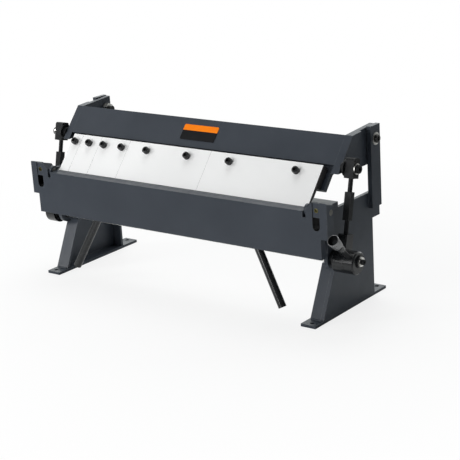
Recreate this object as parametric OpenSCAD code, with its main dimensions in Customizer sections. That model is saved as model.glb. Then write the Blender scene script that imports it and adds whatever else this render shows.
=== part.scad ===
// Box and pan brake: a bench folder with a hinged beam of clamping fingers, a folding leaf and
// an eccentric shaft that works two clamp links. Millimetres, +X right, +Y back, +Z up.
// The origin is on the floor, at the centre of the two feet. Pieces are drawn on the right side
// and mirrored to the left.

/* [Frame] */
// Width over the two side plates
frame_w = 734; // [700:10:800]
// Side plate thickness
plate_t = 8; // [6:1:10]
// Length of a foot, front to back
foot_len = 270; // [250:5:300]
// Width of a foot
foot_w = 35; // [30:1:45]
// Foot thickness
foot_t = 6; // [5:1:8]
// Foot bolt hole
foot_hole_d = 10; // [8:1:12]
// Hole centre from the foot's outer edge
foot_hole_side = 15; // [12:1:18]
// Hole centre from the foot's end
foot_hole_end = 12; // [10:1:20]
// Bottom front corner of a side plate, from the foot's front end
leg_front_in = 30; // [25:1:40]
// Rear edge of the side plate, from the foot's rear end
leg_rear_in = 46; // [40:1:60]
// Top of the sloped front edge, behind the shaft axis
leg_slope_back = 5.25; // [0:0.25:8]
// Top of the sloped front edge, below the shaft axis
leg_slope_drop = 17; // [14:1:20]
// Top of the side plates above the floor
plate_top = 226; // [215:1:240]
// Depth of the rear lug that carries an upright
lug_h = 57; // [45:1:70]
// Rear of the lug behind the beam pivot
lug_back = 25; // [20:1:30]
// Front edge of the plate's head, in front of the shaft axis
head_front = 20.7; // [18:0.1:22]
// Round lobe of the plate about the shaft
lobe_r = 24; // [20:1:28]
// Leg flange width across
flange_w = 24; // [18:1:30]
// Leg flange thickness
flange_t = 6; // [5:1:8]
// Top of the front flange below the shaft axis
flange_drop = 18; // [16:1:30]

/* [Bed] */
// Bed plate thickness
bed_t = 12; // [10:1:16]
// Each end of the bed's working width, in from the side plate's outer face
bed_end_in = 26; // [24:0.5:30]
// Front edge of the bed, from the origin
bed_front = 108.5; // [104:0.5:112]
// Rear edge of the bed, from the origin
bed_rear = 38; // [30:1:42]
// How far the bed's outer ends are cut back behind its front edge
bed_end_cut = 28.5; // [26:0.5:32]
// Height of the two webs under the bed
web_h = 76; // [60:1:80]
// Front web thickness
web_front_t = 10; // [8:1:14]
// Rear web thickness
web_rear_t = 8; // [6:1:12]
// Rear web in from the bed's rear edge
web_rear_in = 2; // [0:1:10]
// Hinge bracket thickness
bracket_t = 5.5; // [4.5:0.5:6.5]
// Hinge bracket lobe about the hinge axis
bracket_r = 11.5; // [11:0.5:12]

/* [Folding leaf] */
// Leaf thickness
leaf_t = 14.5; // [12:0.5:16]
// Height of the leaf, from its bottom edge to the bed's surface
leaf_h = 95.5; // [90:0.5:105]
// Outer end of an ear past its slot
ear_end = 17; // [14:0.5:18]
// Leaf's lower part, in from the outer end of the ear
ear_step = 16; // [12:0.5:20]
// Bottom of the ears below the bed's surface
ear_drop = 53; // [48:1:58]
// Front top edge of the ears above the bed's surface
ear_front_up = 21; // [18:1:24]
// Rear top edge of the ears above the bed's surface
ear_rear_up = 14; // [12:1:16]
// Depth of the ears, front to back
ear_depth = 23; // [20:1:24]
// Width of an ear's inner prong
prong_w = 15.5; // [13:0.5:17]
// Slot width
slot_w = 17; // [14:1:18]
// Bottom of the slot below the bed's surface
slot_drop = 37; // [33:1:42]
// Notch for the hinge bracket, depth below the bed's surface
notch_drop = 12.5; // [12.5:0.5:16]
// Corner cut on the inner prong
prong_cut = 8; // [4:1:10]
// Radius of the other corners at the top of an ear
ear_r = 3; // [1:0.5:5]
// Hinge pin diameter
pin_d = 12; // [10:1:14]
// Height of the pivot block
block_h = 29; // [26:1:31]
// Pivot block bottom below the bed's surface
block_drop = 10; // [9:1:12]
// Front of the pivot block behind the leaf's front
block_recess = 1.5; // [0:0.5:3]
// Screw in the pivot block, above the bed's surface
block_screw_up = 4; // [2:0.5:5]
// Size of the screw in the pivot block
block_screw_d = 6; // [5:1:8]
// Leaf handle diameter
bar_d = 17; // [14:1:20]
// Leaf handle length
bar_len = 132; // [110:1:150]
// Leaf handle, in from the end of the leaf's lower part
bar_in = 163; // [140:1:200]
// Leaf handle's axis behind the middle of the leaf's thickness
bar_behind = 6.5; // [0:0.5:8]
// Outward lean of a leaf handle
bar_lean = 29; // [20:0.5:32]
// Forward lean of a leaf handle
bar_forward = 7; // [0:0.5:8]

/* [Beam and fingers] */
// Beam pivot, behind the origin
pivot_y = 92.5; // [85:0.5:98]
// Beam pivot above the bed's surface
pivot_up = 99; // [90:1:110]
// Width of an upright
upright_w = 35; // [30:1:42]
// Upright thickness
upright_t = 10; // [8:1:12]
// Upright top above the pivot
upright_over = 28; // [24:1:32]
// Upright lap on the side plate
upright_lap = 32; // [26:1:40]
// Backward lean of the beam's face
beam_lean = 41.2; // [38:0.2:44]
// Height of the beam's face plate along its slope
beam_h = 67.4; // [60:0.2:74]
// Face plate thickness
beam_t = 10; // [8:1:12]
// Arm thickness
arm_t = 11; // [9:1:13]
// Gap from an arm to its upright
arm_gap = 2; // [1.5:0.1:3]
// Thickness of the pad outside an arm's front end
pad_t = 6; // [2:0.5:8]
// Depth of that pad behind the beam's face
pad_depth = 24; // [18:1:30]
// Arm rear end behind the pivot
arm_back = 15.5; // [14:0.5:20]
// Arm top above the pivot, at the rear
arm_over = 27; // [22:1:30]
// Arm's lower edge below the link stud, at the front
arm_front_low = 10.5; // [9:0.5:14]
// Arm's lower edge below the link stud, further back
arm_low = 19; // [16:1:22]
// Where the deeper part starts, behind the link stud
arm_step_in = 14; // [10:1:20]
// Chamfer at the arm's lower rear corner
arm_cut = 28; // [20:1:32]
// Carrier plate thickness
carrier_t = 10; // [8:1:14]
// Carrier plate below the beam's bottom edge, over its whole width
carrier_drop = 8; // [6:1:14]
// Carrier lip below the beam's bottom edge, behind the fingers
carrier_lip = 52; // [44:1:56]
// Carrier lip past the outer fingers
lip_over = 10; // [5:1:12]
// Radius where the lip meets the carrier plate
arch_r = 7.5; // [4:0.5:9]
// Row of fingers, in from each end of the bed
finger_end = 5; // [3:0.5:12]
// Finger length along the slope
finger_len = 92.6; // [86:0.2:100]
// Finger top below the beam's bottom edge
finger_drop = 6.9; // [5:0.1:9]
// Finger face in front of the beam's face
finger_proud = 7.9; // [6:0.1:10]
// Thickness of the lower part of a finger
finger_low_t = 9; // [8:0.5:12]
// Width of the flat at the finger's nose
nose_flat = 2; // [1:0.5:3]
// Length of the tapered nose
nose_len = 26; // [18:1:34]
// Slit between two fingers
finger_slit = 0.4; // [0.2:0.1:0.8]
// Finger screw size
screw_d = 10; // [8:1:12]
// Finger screw below the finger's top
screw_drop = 20; // [16:1:26]
// Blank plate on the beam, width
label_w = 92; // [60:2:140]
// Blank plate height
label_h = 36; // [24:1:44]
// Height of the plate's coloured band
label_band = 14; // [8:1:20]
// Blank plate thickness
label_t = 1; // [0.6:0.1:2]

/* [Clamp] */
// Shaft axis, in front of the origin
shaft_y = 59.25; // [56:0.25:62]
// Shaft axis above the floor
shaft_z = 127.9; // [124:0.1:132]
// Shaft diameter between the plates
shaft_d = 24; // [20:1:26]
// Shaft diameter in the eccentrics
shaft_end_d = 20; // [16:1:21]
// Throw of the eccentrics
throw = 5; // [4:0.5:6]
// Direction of the throw, measured from +Y towards +Z
throw_dir = 211.7; // [200:0.5:225]
// Eccentric journal diameter
journal_d = 36; // [34:1:38]
// Play of a link's eye on its journal, radial
eye_play = 0.4; // [0.35:0.05:0.8]
// Eye centre in front of the journal centre
eye_ahead = 0.27; // [0:0.01:0.3]
// Outer diameter of the eye
eye_d = 47; // [44:1:50]
// Width of the eye along the shaft
eye_w = 26; // [20:1:28]
// Bush flange length, from the side plate to the eye
bush_len = 11.8; // [8:0.2:14]
// Link block width across
link_w = 21; // [16:1:22]
// Lower link block depth
low_block = 24; // [20:1:28]
// Lower link block top above the eye
low_block_top = 54; // [46:1:62]
// Upper link block depth
up_block = 21; // [20:1:26]
// Upper link block bottom below the stud
up_block_drop = 19.5; // [16:0.5:26]
// Upper link block top above the stud
up_block_top = 21; // [16:0.5:24]
// Radius of the upper link block's top edges
up_block_r = 5; // [2:0.5:10]
// Turnbuckle rod diameter
rod_d = 10; // [8:1:12]
// Rod length held in a block or sleeve
rod_in = 16; // [12:1:18]
// Turnbuckle sleeve width across its flats
sleeve_w = 14; // [13:1:18]
// Turnbuckle sleeve length
sleeve_len = 56; // [46:1:64]
// Link stud diameter
stud_d = 12; // [10:1:12]
// Link stud behind the beam's face plane
stud_in = 6.5; // [5:0.5:8]
// Link stud above the beam's bottom edge
stud_up = 0.4; // [0:0.1:2]
// Hand lever hub length
hub_len = 22; // [18:0.2:26]
// Chamfer at the hub's outer end
hub_cut = 2.5; // [1:0.5:4]
// Collar between the hub and its end washer
collar_len = 3.4; // [2:0.2:6]
// Hand lever rod diameter
lever_d = 10; // [8:1:14]
// Hand lever length from the journal centre
lever_len = 98; // [90:1:120]
// Hand lever direction above the front
lever_up = 43; // [35:1:55]
// Grip length
grip_len = 42; // [34:1:56]
// Grip diameter at its outer end
grip_d = 24; // [20:1:30]
// Grip diameter at its inner end
grip_neck_d = 15; // [14:1:20]

/* [Fasteners] */
// Beam pivot bolt diameter
pivot_d = 16; // [12:1:18]
// Pivot bolt head height
pivot_head_h = 5; // [4:0.5:9]
// Pivot bolt washer diameter
pivot_washer_d = 26; // [24:1:30]
// Thickness of the washers
washer_t = 2; // [1.5:0.5:3]
// Link stud washer diameter
stud_washer_d = 22; // [20:1:26]
// Flange of the link stud's spacer, diameter
spacer_d = 35; // [28:1:38]
// Thickness of that flange
spacer_t = 3; // [2:0.5:5]
// Link stud head height
stud_head_h = 6.1; // [5:0.1:9]
// Shaft end washer diameter
end_washer_d = 19; // [17:1:24]
// Shaft end screw head diameter
end_head_d = 11; // [9:1:14]
// Shaft end screw head height at the lever
end_head_h = 6; // [4:1:8]
// Shaft end screw head height at the left
left_head_h = 4; // [3:1:6]

/* [Hidden] */
// Clearance of a shaft, pin or screw in its hole, radial
fit = 0.05;
// Clearance between two faces that slide past each other
side_fit = 0.2;
// Leaf to bed, half on each side of the hinge axis
hinge_half_gap = 0.5;
// Finger nose above the bed
nose_gap = 0.4;
// Finger nose behind the hinge axis
nose_back = 10.4;
$fn = 96;

// Side plates, measured across
plate_out = frame_w / 2;
plate_in = plate_out - plate_t;
// Bed and hinge
bed_half = plate_out - bed_end_in;
bed_top = plate_top + bed_t;
hinge_y = -bed_front - hinge_half_gap;
bracket_out = bed_half + bracket_t;
web_bottom = plate_top - web_h;
web_rear_back = -bed_rear - web_rear_in;
web_rear_front = web_rear_back - web_rear_t;
// Leaf
leaf_back = hinge_y - hinge_half_gap;
leaf_front = leaf_back - leaf_t;
leaf_bottom = bed_top - leaf_h;
notch_in = bed_half - 2 * hinge_half_gap;
notch_out = bracket_out + 2 * hinge_half_gap;
slot_in = notch_out + prong_w;
slot_out = slot_in + slot_w;
leaf_half = slot_out + ear_end;
leaf_low_half = leaf_half - ear_step;
bar_x = leaf_low_half - bar_in;
ear_back = leaf_front + ear_depth;
// Beam: the face's bottom edge follows from where the finger noses meet the bed
nose_y = hinge_y + nose_back;
nose_z = bed_top + nose_gap;
face_s = finger_len + finger_drop;
face_y = nose_y + face_s * sin(beam_lean) + finger_proud * cos(beam_lean);
face_z = nose_z + face_s * cos(beam_lean) - finger_proud * sin(beam_lean);
pivot_z = bed_top + pivot_up;
arm_out = plate_out - arm_gap;
arm_in = arm_out - arm_t;
stud_y = face_y + stud_in * cos(beam_lean) + stud_up * sin(beam_lean);
stud_z = face_z - stud_in * sin(beam_lean) + stud_up * cos(beam_lean);
// The widths of the five fingers, in units
finger_units = [1, 2, 3, 8, 10];
unit_sum = finger_units * [1, 1, 1, 1, 1];
fingers_half = bed_half - finger_end;
finger_unit = 2 * fingers_half / unit_sum;
lip_half = fingers_half + lip_over;
pad_out = arm_out + pad_t;
screw_head_d = 1.6 * screw_d;
// Clamp
eye_in = plate_out + bush_len + side_fit;
eye_out = eye_in + eye_w;
link_x = eye_in + eye_w / 2;
hub_out = eye_out + 2 * side_fit + hub_len;
jy = -shaft_y + throw * cos(throw_dir);
jz = shaft_z + throw * sin(throw_dir);
link_y = jy - eye_ahead;
link_len = norm([stud_y - link_y, stud_z - jz]);
link_lean = atan2(stud_y - link_y, stud_z - jz);
up_block_z = link_len - up_block_drop;
sleeve_z = (low_block_top + up_block_z - sleeve_len) / 2;

paint = [0.27, 0.29, 0.32];
dark = [0.14, 0.14, 0.15];
steel = [0.70, 0.70, 0.69];
zinc = [0.55, 0.54, 0.40];

// Extrudes a profile of (y, z) points across, from x0 to x1
module across(x0, x1)
  translate([x0, 0, 0])
    rotate([90, 0, 90])
      linear_extrude(height = x1 - x0)
        children();

// A box from its two corners
module slab(a, b)
  translate(a)
    cube(b - a);

// A round bar across the machine
module round_x(x0, x1, r, y, z)
  translate([x0, y, z])
    rotate([0, 90, 0])
      cylinder(h = x1 - x0, r = r);

// The beam's own frame: X across, Y into the machine from the face, Z up the slope
module on_beam()
  translate([0, face_y, face_z])
    rotate([-beam_lean, 0, 0])
      children();

// A link's own frame: the eye at the origin, the stud up its Z axis
module on_link()
  translate([link_x, link_y, jz])
    rotate([-link_lean, 0, 0])
      children();

// The hand lever's own frame: Z along the rod, away from the hub
module on_lever()
  translate([(eye_out + 2 * side_fit + hub_out) / 2, jy, jz])
    rotate([90 - lever_up, 0, 0])
      children();

module left()
  mirror([1, 0, 0])
    children();

module both() {
  children();
  left() children();
}

// A socket head screw: the seat at the origin, the head up, the shank down
module cap_screw(d, shank, head_d, head_h) {
  difference() {
    cylinder(h = head_h, r = head_d / 2);
    translate([0, 0, head_h * 0.45])
      cylinder(h = head_h, r = head_d * 0.28, $fn = 6);
  }
  translate([0, 0, -shank])
    cylinder(h = shank, r = d / 2);
}

module washer(x0, d, hole, y, z)
  difference() {
    round_x(x0, x0 + washer_t, d / 2, y, z);
    round_x(x0 - 1, x0 + washer_t + 1, hole, y, z);
  }

// Foot: a flat strip with a bolt hole near each end
module foot()
  difference() {
    slab([plate_out - foot_w, -foot_len / 2, 0], [plate_out, foot_len / 2, foot_t]);
    for (y = [-1, 1])
      translate([plate_out - foot_hole_side, y * (foot_len / 2 - foot_hole_end), -1])
        cylinder(h = foot_t + 2, r = foot_hole_d / 2);
  }
module foot_right() color(paint) foot();
module foot_left() color(paint) left() foot();

// Side plate: sloped front edge, lobe for the shaft, head under the bed and a rear lug
front_y = -foot_len / 2 + leg_front_in;
rear_y = foot_len / 2 - leg_rear_in;
slope_top = shaft_z - leg_slope_drop;
slope_top_y = leg_slope_back - shaft_y;
module side_plate()
  difference() {
    across(plate_in, plate_out)
      union() {
        polygon([
          [front_y, foot_t],
          [rear_y, foot_t],
          [rear_y, plate_top - lug_h],
          [pivot_y + lug_back, plate_top - lug_h],
          [pivot_y + lug_back, plate_top],
          [-shaft_y - head_front, plate_top],
          [-shaft_y - head_front, shaft_z],
          [-shaft_y, shaft_z],
          [slope_top_y, slope_top]
        ]);
        translate([-shaft_y, shaft_z])
          circle(r = lobe_r);
      }
    round_x(plate_in - 1, plate_out + 1, bush_r + fit, -shaft_y, shaft_z);
  }
bush_r = shaft_d / 2 + 3;
module side_plate_right() color(paint) side_plate();
module side_plate_left() color(paint) left() side_plate();

// Leg flanges: strips welded inside the plate along its front and rear edges
flange_top = shaft_z - flange_drop;
slope_k = (slope_top_y - front_y) / (slope_top - foot_t);
flange_run = flange_t * sqrt(1 + slope_k * slope_k);
module leg_flanges() {
  across(plate_in - flange_w, plate_in)
    polygon([
      [front_y, foot_t],
      [front_y + flange_run, foot_t],
      [front_y + flange_run + slope_k * (flange_top - foot_t), flange_top],
      [front_y + slope_k * (flange_top - foot_t), flange_top]
    ]);
  slab([plate_in - flange_w, rear_y - flange_t, foot_t], [plate_in, rear_y, plate_top - lug_h]);
}
module leg_flanges_right() color(paint) leg_flanges();
module leg_flanges_left() color(paint) left() leg_flanges();

// Upright: a flat bar welded to the outside of the lug, with the beam's pivot near its top
module upright()
  difference() {
    slab([plate_out, pivot_y - upright_w / 2, plate_top - upright_lap],
         [plate_out + upright_t, pivot_y + upright_w / 2, pivot_z + upright_over]);
    round_x(plate_out - 1, plate_out + upright_t + 1, pivot_d / 2 + fit, pivot_y, pivot_z);
  }
module upright_right() color(paint) upright();
module upright_left() color(paint) left() upright();

// Bed: a plate whose outer ends are cut back to clear the swinging ears, and two webs under it
module bed_plate()
  color(paint)
    union() {
      slab([-bed_half, -bed_front, plate_top], [bed_half, -bed_rear, bed_top]);
      slab([-plate_out, -bed_front + bed_end_cut, plate_top], [plate_out, -bed_rear, bed_top]);
    }
module bed_front_web()
  color(paint)
    slab([-bed_half, -bed_front, web_bottom], [bed_half, -bed_front + web_front_t, plate_top]);
module bed_rear_web()
  color(paint)
    slab([-plate_in, web_rear_front, web_bottom], [plate_in, web_rear_back, plate_top]);

// Hinge bracket: an end plate on the bed with a lobe about the hinge pin
module hinge_bracket()
  difference() {
    across(bed_half, bracket_out)
      union() {
        polygon([
          [-bed_front, web_bottom],
          [web_rear_front, web_bottom],
          [web_rear_front, plate_top],
          [-bed_front + bed_end_cut - 1, plate_top],
          [-bed_front + bed_end_cut - 1, bed_top],
          [-bed_front, bed_top]
        ]);
        translate([hinge_y, bed_top])
          circle(r = bracket_r);
      }
    round_x(bed_half - 1, bracket_out + 1, pin_d / 2 + fit, hinge_y, bed_top);
  }
module hinge_bracket_right() color(paint) hinge_bracket();
module hinge_bracket_left() color(paint) left() hinge_bracket();

// Shaft bush: a spigot in the side plate and a flange that spaces the link's eye
module shaft_bush()
  difference() {
    union() {
      round_x(plate_in, plate_out + 1, bush_r, -shaft_y, shaft_z);
      round_x(plate_out, plate_out + bush_len, bush_r + 2, -shaft_y, shaft_z);
    }
    round_x(plate_in - 1, plate_out + bush_len + 1, shaft_d / 2 + fit, -shaft_y, shaft_z);
  }
module shaft_bush_right() color(steel) shaft_bush();
module shaft_bush_left() color(steel) left() shaft_bush();

// Beam pivot: a bolt through the upright and the arm, with washers and a nut inside
pivot_nut_w = 1.5 * pivot_d;
nut_t = 0.5 * pivot_d;
nut_out = arm_in - side_fit - washer_t;
module pivot_bolts()
  color(dark)
    both()
      translate([plate_out + upright_t + washer_t, pivot_y, pivot_z])
        rotate([0, 90, 0])
          cap_screw(pivot_d, plate_out + upright_t + washer_t - nut_out + nut_t + 2,
                    pivot_washer_d * 0.66, pivot_head_h);
module pivot_washers()
  color(steel)
    both() {
      washer(plate_out + upright_t, pivot_washer_d, pivot_d / 2 + fit, pivot_y, pivot_z);
      washer(nut_out, pivot_washer_d, pivot_d / 2 + fit, pivot_y, pivot_z);
    }
module pivot_thrust_washers()
  color(steel)
    both()
      difference() {
        round_x(arm_out + side_fit, plate_out, pivot_washer_d / 2, pivot_y, pivot_z);
        round_x(arm_out, plate_out + 1, pivot_d / 2 + fit, pivot_y, pivot_z);
      }
module pivot_nuts()
  color(steel)
    both()
      difference() {
        translate([nut_out - nut_t, pivot_y, pivot_z])
          rotate([0, 90, 0])
            cylinder(h = nut_t, r = pivot_nut_w / sqrt(3), $fn = 6);
        round_x(nut_out - nut_t - 1, nut_out + 1, pivot_d / 2 + fit, pivot_y, pivot_z);
      }

// Folding leaf: a thick plate that hangs in front of the bed, with slotted ears at the hinge
ear_slope = atan((ear_front_up - ear_rear_up) / ear_depth);
// Rounds a top corner of an ear at x; the material lies on the side given by 1 or -1
module top_corner(x, side)
  translate([x, leaf_front, bed_top + ear_front_up])
    rotate([-ear_slope, 0, 0])
      translate([0, -ear_r, 0])
        rotate([-90, 0, 0])
          linear_extrude(height = ear_depth + 4 * ear_r)
            difference() {
              translate([side > 0 ? -1 : -ear_r, -1])
                square(ear_r + 1);
              translate([side * ear_r, ear_r])
                circle(r = ear_r);
            }
module ear()
  difference() {
    across(notch_out, leaf_half)
      polygon([
        [leaf_front, bed_top - ear_drop],
        [ear_back, bed_top - ear_drop],
        [ear_back, bed_top + ear_rear_up],
        [leaf_front, bed_top + ear_front_up]
      ]);
    translate([notch_out, leaf_front - 1, bed_top + ear_front_up])
      rotate([-90, 0, 0])
        linear_extrude(height = ear_depth + 2)
          polygon([
            [-1, -1],
            [prong_cut + ear_front_up - ear_rear_up, -1],
            [prong_cut + ear_front_up - ear_rear_up, 0],
            [0, prong_cut + ear_front_up - ear_rear_up],
            [-1, prong_cut + ear_front_up - ear_rear_up]
          ]);
    top_corner(slot_in, -1);
    top_corner(slot_out, 1);
    top_corner(leaf_half, -1);
  }
module ear_slot() {
  slab([slot_in, leaf_front - 1, bed_top - slot_drop + slot_w / 2],
       [slot_out, ear_back + 1, bed_top + ear_front_up + 1]);
  translate([(slot_in + slot_out) / 2, leaf_front - 1, bed_top - slot_drop + slot_w / 2])
    rotate([-90, 0, 0])
      cylinder(h = ear_depth + 2, r = slot_w / 2);
}
module folding_leaf()
  color(paint)
    difference() {
      union() {
        slab([-leaf_low_half, leaf_front, leaf_bottom],
             [leaf_low_half, leaf_back, bed_top - ear_drop]);
        slab([-notch_out, leaf_front, bed_top - ear_drop],
             [notch_out, leaf_back, bed_top - notch_drop]);
        slab([-notch_in, leaf_front, bed_top - notch_drop - 1],
             [notch_in, leaf_back, bed_top]);
        both() ear();
      }
      both() {
        ear_slot();
        round_x(notch_out - 1, leaf_half + 1, pin_d / 2 + fit, hinge_y, bed_top);
      }
    }

// Pivot block: fills the top of the ear's slot and holds the pin with a screw
block_z = bed_top - block_drop;
block_front = leaf_front + block_recess;
block_head_d = 1.6 * block_screw_d;
block_head_h = 0.6 * block_screw_d;
module pivot_block()
  difference() {
    slab([slot_in + side_fit, block_front, block_z],
         [slot_out - side_fit, ear_back, block_z + block_h]);
    translate([0, ear_back + 1, block_z + block_h])
      rotate([0, 90, 0])
        translate([0, 0, slot_in])
          linear_extrude(height = slot_w)
            polygon([[-1, 0], [ear_front_up - ear_rear_up, 0], [-1, -ear_depth * 1.05]]);
    round_x(slot_in, slot_out, pin_d / 2 + fit, hinge_y, bed_top);
    translate([(slot_in + slot_out) / 2, block_front - 1, bed_top + block_screw_up])
      rotate([-90, 0, 0]) {
        cylinder(h = hinge_y - leaf_front, r = block_screw_d / 2 + fit);
        cylinder(h = block_head_h + 1, r = block_head_d / 2 + side_fit);
      }
  }
module pivot_block_right() color(steel) pivot_block();
module pivot_block_left() color(steel) left() pivot_block();

module hinge_pin()
  round_x(bed_half + side_fit, leaf_half, pin_d / 2, hinge_y, bed_top);
module hinge_pin_right() color(steel) hinge_pin();
module hinge_pin_left() color(steel) left() hinge_pin();

block_screw_len = hinge_y - block_front - block_head_h - pin_d / 2 - side_fit;
module pivot_block_screws()
  color(zinc)
    both()
      translate([(slot_in + slot_out) / 2, block_front + block_head_h, bed_top + block_screw_up])
        rotate([90, 0, 0])
          cap_screw(block_screw_d, block_screw_len, block_head_d, block_head_h);

// Leaf handle: a round bar welded to the leaf's bottom edge, leaning outward and forward
module leaf_handle()
  difference() {
    translate([bar_x, (leaf_front + leaf_back) / 2 + bar_behind, leaf_bottom])
      rotate([-bar_forward, 0, 0])
        rotate([0, 180 - bar_lean, 0])
          translate([0, 0, -bar_d])
            cylinder(h = bar_len + bar_d, r = bar_d / 2);
    slab([bar_x - 3 * bar_d, leaf_front - bar_d, leaf_bottom],
         [bar_x + 3 * bar_d, leaf_back + bar_d, leaf_bottom + 3 * bar_d]);
  }
module leaf_handle_right() color(paint) leaf_handle();
module leaf_handle_left() color(paint) left() leaf_handle();

// Beam: a leaning face plate between two arms
module beam_face()
  color(paint)
    on_beam()
      slab([-arm_in, 0, 0], [arm_in, beam_t, beam_h]);
face_top_y = face_y + beam_h * sin(beam_lean);
face_top_z = face_z + beam_h * cos(beam_lean);
// The arm's profile, as far behind the face as the depth given
module arm_profile(depth)
  intersection() {
    polygon([
      [face_y - arm_low, stud_z - arm_front_low],
      [stud_y + arm_step_in, stud_z - arm_front_low],
      [stud_y + arm_step_in + arm_low - arm_front_low, stud_z - arm_low],
      [pivot_y + arm_back - arm_cut, stud_z - arm_low],
      [pivot_y + arm_back, stud_z - arm_low + arm_cut],
      [pivot_y + arm_back, pivot_z + arm_over],
      [face_top_y, face_top_z],
      [face_y - arm_low, face_z]
    ]);
    translate([face_y, face_z])
      rotate(-beam_lean)
        translate([0, -2 * arm_low])
          square([depth, 4 * pivot_up]);
  }
module beam_arm()
  difference() {
    union() {
      across(arm_in, arm_out)
        arm_profile(4 * pivot_up);
      across(arm_out - 1, pad_out)
        arm_profile(pad_depth);
    }
    round_x(arm_in - 1, arm_out + 1, pivot_d / 2 + fit, pivot_y, pivot_z);
    round_x(arm_in - 1, pad_out + 1, stud_d / 2 + fit, stud_y, stud_z);
  }
module beam_arm_right() color(paint) beam_arm();
module beam_arm_left() color(paint) left() beam_arm();

// Finger carrier: a plate behind the face with a lip that the fingers are screwed to
function finger_x(i) = i == 0 ? -fingers_half : finger_x(i - 1) + finger_units[i - 1] * finger_unit;
function finger_w(i) = finger_units[i] * finger_unit;
// Narrow fingers have one screw in the middle, wide ones two, in from their ends
function screw_in(i) = finger_units[i] < 3 ? finger_w(i) / 2 :
                       finger_units[i] == 3 ? finger_unit * 0.55 : finger_unit * 2;
function screw_xs(i) = finger_units[i] < 3 ? [finger_x(i) + finger_w(i) / 2] :
                       [finger_x(i) + screw_in(i), finger_x(i) + finger_w(i) - screw_in(i)];
screw_z = -finger_drop - screw_drop;
module screw_holes(r)
  for (i = [0 : len(finger_units) - 1])
    for (x = screw_xs(i))
      translate([x, -finger_proud - 1, screw_z])
        rotate([-90, 0, 0])
          cylinder(h = finger_proud + beam_t + carrier_t + 2, r = r);
module finger_carrier()
  color(paint)
    on_beam()
      difference() {
        slab([-arm_in, beam_t, -carrier_lip], [arm_in, beam_t + carrier_t, beam_h * 0.6]);
        both()
          slab([lip_half, beam_t - 1, -carrier_lip - 1],
               [arm_in + 1, beam_t + carrier_t + 1, -carrier_drop - arch_r]);
        both()
          slab([lip_half + arch_r, beam_t - 1, -carrier_lip - 1],
               [arm_in + 1, beam_t + carrier_t + 1, -carrier_drop]);
        both()
          translate([lip_half + arch_r, beam_t - 1, -carrier_drop - arch_r])
            rotate([-90, 0, 0])
              cylinder(h = carrier_t + 2, r = arch_r);
        screw_holes(screw_d / 2 + fit);
      }

// Finger: thick where it is screwed on, relieved below, with a tapered nose
module finger(i)
  color(steel)
    on_beam()
      difference() {
        across(finger_x(i) + finger_slit / 2, finger_x(i) + finger_w(i) - finger_slit / 2)
          polygon([
            [-finger_proud, -finger_drop],
            [beam_t, -finger_drop],
            [beam_t, -carrier_lip],
            [finger_low_t - finger_proud, -carrier_lip - 4],
            [finger_low_t - finger_proud, -face_s + nose_len],
            [-finger_proud + nose_flat * cos(beam_lean), -face_s + nose_flat * sin(beam_lean)],
            [-finger_proud, -face_s]
          ]);
        screw_holes(screw_d / 2 + side_fit);
      }
module finger_1() finger(0);
module finger_2() finger(1);
module finger_3() finger(2);
module finger_4() finger(3);
module finger_5() finger(4);

module finger_screws()
  color(dark)
    on_beam()
      for (i = [0 : len(finger_units) - 1])
        for (x = screw_xs(i))
          translate([x, -finger_proud, screw_z])
            rotate([90, 0, 0])
              cap_screw(screw_d, finger_proud + beam_t + carrier_t - 1, screw_head_d, screw_d);

// Blank two-tone plate on the beam, with no text
label_z = (beam_h - label_h) / 2;
module blank_plate()
  color([0.06, 0.06, 0.06])
    on_beam()
      slab([-label_w / 2, -label_t, label_z],
           [label_w / 2, 0, label_z + label_h - label_band]);
module blank_plate_band()
  color([0.85, 0.35, 0.12])
    on_beam()
      slab([-label_w / 2, -label_t, label_z + label_h - label_band],
           [label_w / 2, 0, label_z + label_h]);

// Link stud: fixed in the arm, with a spacer and a washer either side of the link's block
block_in = link_x - link_w / 2;
block_out = link_x + link_w / 2;
stud_head_x = block_out + side_fit + washer_t;
module link_studs()
  color(dark)
    both()
      translate([stud_head_x, stud_y, stud_z])
        rotate([0, 90, 0])
          cap_screw(stud_d, stud_head_x - arm_in, stud_washer_d * 0.8, stud_head_h);
module stud_spacers()
  color(dark)
    both()
      difference() {
        union() {
          round_x(pad_out, block_in - side_fit, stud_washer_d / 2, stud_y, stud_z);
          round_x(block_in - side_fit - spacer_t, block_in - side_fit, spacer_d / 2, stud_y, stud_z);
        }
        round_x(pad_out - 1, block_in, stud_d / 2 + fit, stud_y, stud_z);
      }
module stud_washers()
  color(dark)
    both()
      washer(block_out + side_fit, stud_washer_d, stud_d / 2 + fit, stud_y, stud_z);

// Link: a block on the stud, a turnbuckle of two rods and a sleeve, and an eye on the eccentric
module link_block()
  on_link()
    difference() {
      across(-link_w / 2, link_w / 2)
        union() {
          translate([-up_block / 2, up_block_z])
            square([up_block, link_len + up_block_top - up_block_r - up_block_z]);
          translate([up_block_r - up_block / 2, up_block_z])
            square([up_block - 2 * up_block_r, link_len + up_block_top - up_block_z]);
          for (y = [-1, 1])
            translate([y * (up_block / 2 - up_block_r), link_len + up_block_top - up_block_r])
              circle(r = up_block_r);
        }
      round_x(-link_w, link_w, stud_d / 2 + fit, 0, link_len);
      translate([0, 0, up_block_z - 1])
        cylinder(h = rod_hold + 1, r = rod_d / 2 + fit);
    }
rod_hold = min(rod_in, up_block_drop - stud_d / 2 - 2);
module link_block_right() color(dark) link_block();
module link_block_left() color(dark) left() link_block();

module turnbuckle_rods()
  on_link() {
    translate([0, 0, low_block_top - rod_in])
      cylinder(h = sleeve_z - low_block_top + 2 * rod_in, r = rod_d / 2);
    translate([0, 0, sleeve_z + sleeve_len - rod_in])
      cylinder(h = up_block_z - sleeve_z - sleeve_len + rod_in + rod_hold, r = rod_d / 2);
  }
module turnbuckle_rods_right() color(dark) turnbuckle_rods();
module turnbuckle_rods_left() color(dark) left() turnbuckle_rods();

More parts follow.
